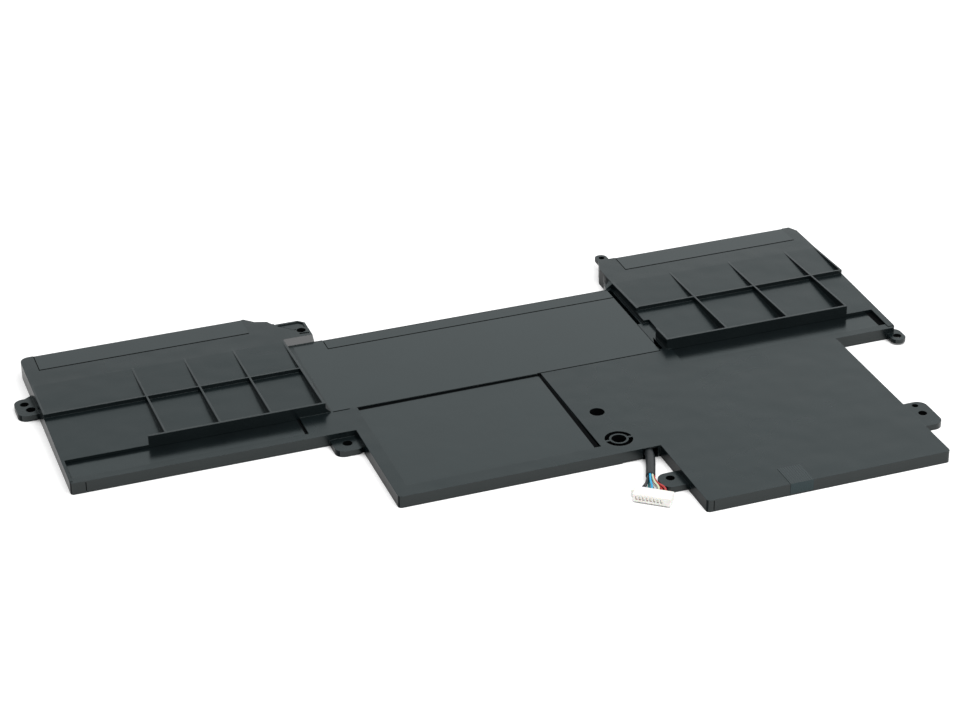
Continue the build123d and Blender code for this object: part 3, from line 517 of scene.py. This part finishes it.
def mould_splits():
    """The mould's split: one short upright line on each front wall."""
    outlines = []
    for name, along in SPLIT_PLACES.items():
        x = node_box(name)[0].x + along
        y = front_wall(x) - SPLIT_LIFT
        left, right = x - SPLIT_HALF_WIDTH, x + SPLIT_HALF_WIDTH
        outlines.append([(left, y, SPLIT_BOTTOM), (right, y, SPLIT_BOTTOM),
                         (right, y, SPLIT_TOP), (left, y, SPLIT_TOP)])
    return outlines


class BatteryLooks(bpy.types.PropertyGroup):
    """Colours and finishes of the pack's visible pieces."""
    housing_dark: StringProperty(
        name="Housing dark", description="Darker shade of the moulding", default="#0a1012")
    housing_light: StringProperty(
        name="Housing light", description="Lighter shade of the moulding", default="#0d1416")
    housing_roughness: FloatProperty(
        name="Housing roughness", description="How blurred the moulding's mirror is",
        default=0.26, min=0.05, max=1.0)
    housing_waves: FloatProperty(
        name="Housing waves", description="Depth of the sink marks in millimetres",
        default=0.2, min=0.0, max=0.5)
    housing_ior: FloatProperty(
        name="Housing IOR", description="Refractive index of the moulding's skin",
        default=1.46, min=1.3, max=1.8)
    film_ior: FloatProperty(
        name="Film IOR", description="Refractive index of the films", default=1.52, min=1.3, max=1.8)
    # The sheen tint paints the cool colour of the light round the pack onto the black plastics'
    # reflections.
    sheen_tint: StringProperty(
        name="Sheen tint", description="Tint of the black plastics' steep reflections", default="#cdf0f4")
    # The wall tint and the side gloss set the walls' sheen by which way they face: painted reflection
    # colour and painted shade.
    wall_tint: StringProperty(
        name="Wall tint", description="Tint of the housing walls' reflections", default="#f3fbf9")
    side_gloss: FloatProperty(
        name="Side gloss", description="Specular level of the side walls, of which 0.5 is the usual one",
        default=0.06, min=0.0, max=1.0)
    film_roughness: FloatProperty(
        name="Film roughness", description="How blurred the film's mirror is",
        default=0.12, min=0.02, max=1.0)
    sleeve_dark: StringProperty(
        name="Sleeve dark", description="Darker shade of the sleeve", default="#1f2326")
    sleeve_light: StringProperty(
        name="Sleeve light", description="Lighter shade of the sleeve", default="#272c2e")
    nylon_dark: StringProperty(
        name="Connector dark", description="Darker shade of the nylon", default="#f1efea")
    nylon_light: StringProperty(
        name="Connector light", description="Lighter shade of the nylon", default="#f7f6f2")


class BatteryCable(bpy.types.PropertyGroup):
    """Sizes of the cable."""
    wire_diameter: FloatProperty(
        name="Wire diameter", description="Outside of one wire's insulation",
        default=0.68 * MM, unit="LENGTH")
    sleeve_diameter: FloatProperty(
        name="Sleeve diameter", description="Outside of the sleeve", default=3.0 * MM, unit="LENGTH")
    sleeve_wall: FloatProperty(
        name="Sleeve wall", description="Thickness of the sleeve's tubing",
        default=0.15 * MM, unit="LENGTH")


class BatteryStudio(bpy.types.PropertyGroup):
    """Camera, lights and table."""
    camera_place: FloatVectorProperty(
        name="Camera", description="Where the camera stands", subtype="XYZ", unit="LENGTH",
        default=(-0.23818, -0.65684, 0.40517))
    azimuth: FloatProperty(
        name="Azimuth", description="Camera's turn round the pack", subtype="ANGLE",
        default=radians(-19.598))
    elevation: FloatProperty(
        name="Elevation", description="Camera's height angle", subtype="ANGLE", default=radians(29.015))
    roll: FloatProperty(
        name="Roll", description="Camera's tilt about its own axis", subtype="ANGLE",
        default=radians(-0.660))
    lens: FloatProperty(
        name="Lens", description="Focal length on a 36 mm wide sensor", default=94.603)
    sky: FloatProperty(
        name="Sky", description="Strength of the white surroundings' light", default=0.75, min=0.0)
    sky_left: FloatProperty(
        name="Sky left", description="Level of the surroundings that mirrors show on the left",
        default=0.9, min=0.0)
    sky_right: FloatProperty(
        name="Sky right", description="Level of the surroundings that mirrors show on the right",
        default=1.13, min=0.0)
    softbox: FloatProperty(
        name="Softbox", description="Power of the overhead softbox in watts", default=3.2, min=0.0)
    softbox_side: FloatProperty(
        name="Softbox side", description="Width and depth of the softbox", default=0.5, unit="LENGTH")
    softbox_place: FloatVectorProperty(
        name="Softbox place", description="Where the softbox hangs", subtype="XYZ", unit="LENGTH",
        default=(0.19, -0.33, 0.66))
    table_tone: FloatProperty(
        name="Table tone", description="Share of light that the table returns", default=0.8, max=1.0)
    table_glow: FloatProperty(
        name="Table glow", description="What lifts the open table to white", default=0.45, min=0.0)


class BATTERY_OT_moulding(bpy.types.Operator):
    """Finish the moulded housing and the clamp"""
    bl_idname = "battery.moulding"
    bl_label = "Moulded housing"

    def execute(self, context):
        looks = context.scene.battery_looks
        finish_nodes(["housing", "cable_clamp"], moulded_pc_abs(looks, "moulded PC-ABS", looks.sheen_tint))
        darken_bores("housing", shadow_black())
        dress_walls("housing", looks)
        return {"FINISHED"}


class BATTERY_OT_films(bpy.types.Operator):
    """Finish the films on the strip, behind the ribs, in the windows and underneath"""
    bl_idname = "battery.films"
    bl_label = "Films and tape"

    def execute(self, context):
        looks = context.scene.battery_looks
        films = [name for name in frame["nodes"] if "film" in name]
        finish_nodes(films, polyester_film(looks))
        finish_nodes([name for name in films if name.startswith("window")], pocket_film(looks))
        finish_nodes(["tape_tab"], polyester_tape(looks))
        return {"FINISHED"}


class BATTERY_OT_gaps(bpy.types.Operator):
    """Lay black strips of painted shade in the gaps round the films, and the dark lines of the two mould
    seams
    """
    bl_idname = "battery.gaps"
    bl_label = "Film gaps and seams"

    def execute(self, context):
        outlines = edge_film_gaps() + strip_seams() + middle_recess_gaps()
        outlines += window_end_gaps() + mould_splits()
        flat_pieces("gap_shade_and_seams", outlines, shadow_black())
        return {"FINISHED"}


class BATTERY_OT_cells(bpy.types.Operator):
    """Finish the pouch cells with their adhesive and foam"""
    bl_idname = "battery.cells"
    bl_label = "Cells and foam"

    def execute(self, context):
        finish_nodes([n for n in frame["nodes"] if n.startswith("cell_")], foil_laminate())
        finish_nodes([n for n in frame["nodes"] if n.startswith("adhesive_")], acrylic_adhesive())
        finish_nodes(["foam_left", "foam_right", "board_foam"], cellular_foam())
        return {"FINISHED"}


class BATTERY_OT_electronics(bpy.types.Operator):
    """Finish the board, its chips, the nickel tabs and the contacts"""
    bl_idname = "battery.electronics"
    bl_label = "Board and tabs"

    def execute(self, context):
        nickel = [n for n in frame["nodes"] if n.startswith(("tabs_", "link_"))]
        finish_nodes(nickel + ["weld_pads", "thermal_fuse"], rolled_nickel())
        finish_nodes(["board"], solder_mask())
        finish_nodes(["gauge_chip", "power_switches", "sense_resistor"], epoxy_resin())
        finish_nodes(["small_capacitors", "thermistor"], fired_ceramic())
        finish_nodes(["wire_pads", "contacts"], tin_plate())
        return {"FINISHED"}


def route_curve(name, points, radius):
    """A smooth round cable along a route's corners."""
    curve = bpy.data.curves.new(name, "CURVE")
    curve.dimensions = "3D"
    spline = curve.splines.new("NURBS")
    spline.points.add(len(points) - 1)
    for point, corner in zip(spline.points, points):
        point.co = (*corner, 1.0)
    spline.order_u = 3
    spline.use_endpoint_u = True
    spline.resolution_u = 12
    curve.bevel_depth = radius
    curve.bevel_resolution = 4
    curve.use_fill_caps = True
    piece = bpy.data.objects.new(name, curve)
    bpy.context.scene.collection.objects.link(piece)
    return piece


def sleeve_tube(name, points, radius, thickness):
    """An open tube of shrunk tubing along the sleeve's route."""
    core = route_curve(name + "_core", points, radius)
    core.data.use_fill_caps = False
    context = bpy.context
    context.view_layer.update()
    mesh = bpy.data.meshes.new_from_object(core.evaluated_get(context.evaluated_depsgraph_get()))
    bpy.data.objects.remove(core)
    mesh.name = name
    tube = bpy.data.objects.new(name, mesh)
    context.scene.collection.objects.link(tube)
    wall = tube.modifiers.new("wall", "SOLIDIFY")
    wall.thickness = thickness
    wall.offset = -1.0
    for face in mesh.polygons:
        face.use_smooth = True
    return tube


class BATTERY_OT_cable(bpy.types.Operator):
    """Make the eight wires and their sleeve, and finish the connector"""
    bl_idname = "battery.cable"
    bl_label = "Cable and connector"

    def execute(self, context):
        sizes = context.scene.battery_cable
        looks = context.scene.battery_looks
        finish_nodes(["connector_housing"], moulded_nylon(looks))
        coats = {
            "black": pvc_insulation("black", "#1c1e20", "#26292b"),
            "green": pvc_insulation("blue-green", "#1f6d70", "#2a8084"),
            "blue": pvc_insulation("light blue", "#2b9fd0", "#3db2e0"),
            "white": pvc_insulation("white", "#d5d8d3", "#e4e6e2"),
            "yellow": pvc_insulation("pale yellow", "#c6cfae", "#d5dcc0"),
            "red": pvc_insulation("red", "#b03030", "#c43c3a"),
        }
        finish_nodes(["board_leads"], coats["black"])
        sleeve = sleeve_tube("sleeve", SLEEVE_ROUTE, sizes.sleeve_diameter / 2, sizes.sleeve_wall)
        sleeve.data.materials.append(heatshrink_tubing(looks))
        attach(sleeve, "root")
        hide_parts("cable_sleeve")
        for node, route in WIRE_ROUTES.items():
            colour = node.split("_")[1]
            wire = route_curve(node.replace("wire", "lead"), route, sizes.wire_diameter / 2)
            wire.data.materials.append(coats[colour])
            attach(wire, "root")
            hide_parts(node)
        return {"FINISHED"}


def place_camera(scene, studio):
    """Stands the camera where the photograph was taken from."""
    camera = bpy.data.objects.new("photo camera", bpy.data.cameras.new("photo camera"))
    scene.collection.objects.link(camera)
    camera.data.lens = studio.lens
    camera.data.sensor_width = 36.0
    camera.data.clip_start = 10 * MM
    az, el = studio.azimuth, studio.elevation
    back = Vector((sin(az) * cos(el), -cos(az) * cos(el), sin(el)))
    right = (-back).cross(Vector((0, 0, 1))).normalized()
    up = right.cross(-back)
    turn = Matrix((right, up, back)).transposed().to_4x4()
    tilt = Matrix.Rotation(studio.roll, 4, "Z")
    camera.matrix_world = Matrix.Translation(Vector(studio.camera_place)) @ turn @ tilt
    scene.camera = camera


def highest(tree, first, second):
    """The higher of two values."""
    return add_node(tree, "ShaderNodeMath", links={0: first, 1: second}, operation="MAXIMUM").outputs[0]


def seen_rays(tree):
    """Whether a ray comes from the camera, and whether it is seen, mirrored or through glass too."""
    path = add_node(tree, "ShaderNodeLightPath")
    camera_ray = path.outputs["Is Camera Ray"]
    mirrored = highest(tree, camera_ray, path.outputs["Is Glossy Ray"])
    return camera_ray, highest(tree, mirrored, path.outputs["Is Transmission Ray"])


def white_world(scene, studio):
    """White surroundings, which light the pack at a lower level than they show at."""
    world = bpy.data.worlds.new("white surroundings")
    scene.world = world
    world.use_nodes = True
    tree = world.node_tree
    tree.nodes.clear()
    camera_ray, seen = seen_rays(tree)
    lit = add_node(tree, "ShaderNodeBackground", {"Color": WHITE, "Strength": studio.sky})
    # Mirrors show them a little brighter on the right, as the pack's sheen does in the photo.
    aim = add_node(tree, "ShaderNodeTexCoord").outputs["Generated"]
    aside = add_node(tree, "ShaderNodeSeparateXYZ", links={"Vector": aim}).outputs["X"]
    values = {"From Min": 0.1, "From Max": 0.5, "To Min": studio.sky_left, "To Max": studio.sky_right}
    level = add_node(tree, "ShaderNodeMapRange", values, {"Value": aside}).outputs["Result"]
    links = {"Strength": highest(tree, level, camera_ray)}
    plain = add_node(tree, "ShaderNodeBackground", {"Color": WHITE}, links)
    mix = add_node(tree, "ShaderNodeMixShader", links={0: seen, 1: lit.outputs[0], 2: plain.outputs[0]})
    add_node(tree, "ShaderNodeOutputWorld", links={"Surface": mix.outputs[0]})


def hang_softbox(scene, studio):
    """Hangs one square softbox over the pack, turned to its middle."""
    light = bpy.data.lights.new("softbox", "AREA")
    light.shape = "RECTANGLE"
    light.size = studio.softbox_side
    light.size_y = studio.softbox_side
    light.energy = studio.softbox
    lamp = bpy.data.objects.new("softbox", light)
    lamp.location = studio.softbox_place
    lamp.rotation_euler = (-lamp.location).to_track_quat("-Z", "Y").to_euler()
    scene.collection.objects.link(lamp)


def white_paper(studio):
    """Matt white paper, lifted to white where nothing lies close above it."""
    material = bpy.data.materials.new("white table")
    material.use_nodes = True
    tree = material.node_tree
    tree.nodes.clear()
    seen = seen_rays(tree)[1]
    matt = add_node(tree, "ShaderNodeBsdfDiffuse", {"Color": (*[studio.table_tone] * 3, 1.0)})
    # The glow fades close under the pack, so that holes and gaps stay dark.
    openness = add_node(tree, "ShaderNodeAmbientOcclusion", {"Distance": 5 * MM}, samples=8).outputs["AO"]
    covered, free = 0.35, 0.5
    values = {"From Min": covered, "From Max": free}
    shade = add_node(tree, "ShaderNodeMapRange", values, {"Value": openness}).outputs["Result"]
    share = add_node(tree, "ShaderNodeMath", {1: studio.table_glow}, {0: shade}, operation="MULTIPLY")
    glow = add_node(tree, "ShaderNodeEmission", {"Color": WHITE}, {"Strength": share.outputs[0]})
    lifted = add_node(tree, "ShaderNodeAddShader", links={0: matt.outputs[0], 1: glow.outputs[0]})
    mix = add_node(tree, "ShaderNodeMixShader", links={0: seen, 1: matt.outputs[0], 2: lifted.outputs[0]})
    add_node(tree, "ShaderNodeOutputMaterial", links={"Surface": mix.outputs[0]})
    return material


def lay_table(scene, material):
    """Lays a table just under the pack."""
    mesh = bpy.data.meshes.new("table")
    plane = bmesh.new()
    bmesh.ops.create_grid(plane, x_segments=1, y_segments=1, size=3.0)
    plane.to_mesh(mesh)
    plane.free()
    table = bpy.data.objects.new("table", mesh)
    table.location.z = -0.01 * MM
    table.data.materials.append(material)
    scene.collection.objects.link(table)


class BATTERY_OT_studio(bpy.types.Operator):
    """Set up the camera, the white surroundings, the softbox and the table"""
    bl_idname = "battery.studio"
    bl_label = "Studio"

    def execute(self, context):
        scene = context.scene
        studio = scene.battery_studio
        scene.view_settings.view_transform = "Standard"
        place_camera(scene, studio)
        white_world(scene, studio)
        hang_softbox(scene, studio)
        lay_table(scene, white_paper(studio))
        return {"FINISHED"}


STEPS = (
    BATTERY_OT_moulding,
    BATTERY_OT_films,
    BATTERY_OT_gaps,
    BATTERY_OT_cells,
    BATTERY_OT_electronics,
    BATTERY_OT_cable,
    BATTERY_OT_studio,
)


class BATTERY_PT_panel(bpy.types.Panel):
    """Lists the steps that dress the battery pack"""
    bl_idname = "BATTERY_PT_panel"
    bl_label = "Battery pack"
    bl_space_type = "VIEW_3D"
    bl_region_type = "UI"
    bl_category = "Battery pack"

    def draw(self, context):
        for step in STEPS:
            self.layout.operator(step.bl_idname)


CLASSES = (BatteryLooks, BatteryCable, BatteryStudio, *STEPS, BATTERY_PT_panel)


def register():
    for cls in CLASSES:
        bpy.utils.register_class(cls)
    bpy.types.Scene.battery_looks = PointerProperty(type=BatteryLooks)
    bpy.types.Scene.battery_cable = PointerProperty(type=BatteryCable)
    bpy.types.Scene.battery_studio = PointerProperty(type=BatteryStudio)


def unregister():
    del bpy.types.Scene.battery_studio
    del bpy.types.Scene.battery_cable
    del bpy.types.Scene.battery_looks
    for cls in reversed(CLASSES):
        bpy.utils.unregister_class(cls)


def main():
    """Dresses the pack."""
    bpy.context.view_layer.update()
    register()
    bpy.ops.battery.moulding()
    bpy.ops.battery.films()
    bpy.ops.battery.gaps()
    bpy.ops.battery.cells()
    bpy.ops.battery.electronics()
    bpy.ops.battery.cable()
    bpy.ops.battery.studio()


if __name__ == "__main__":
    main()
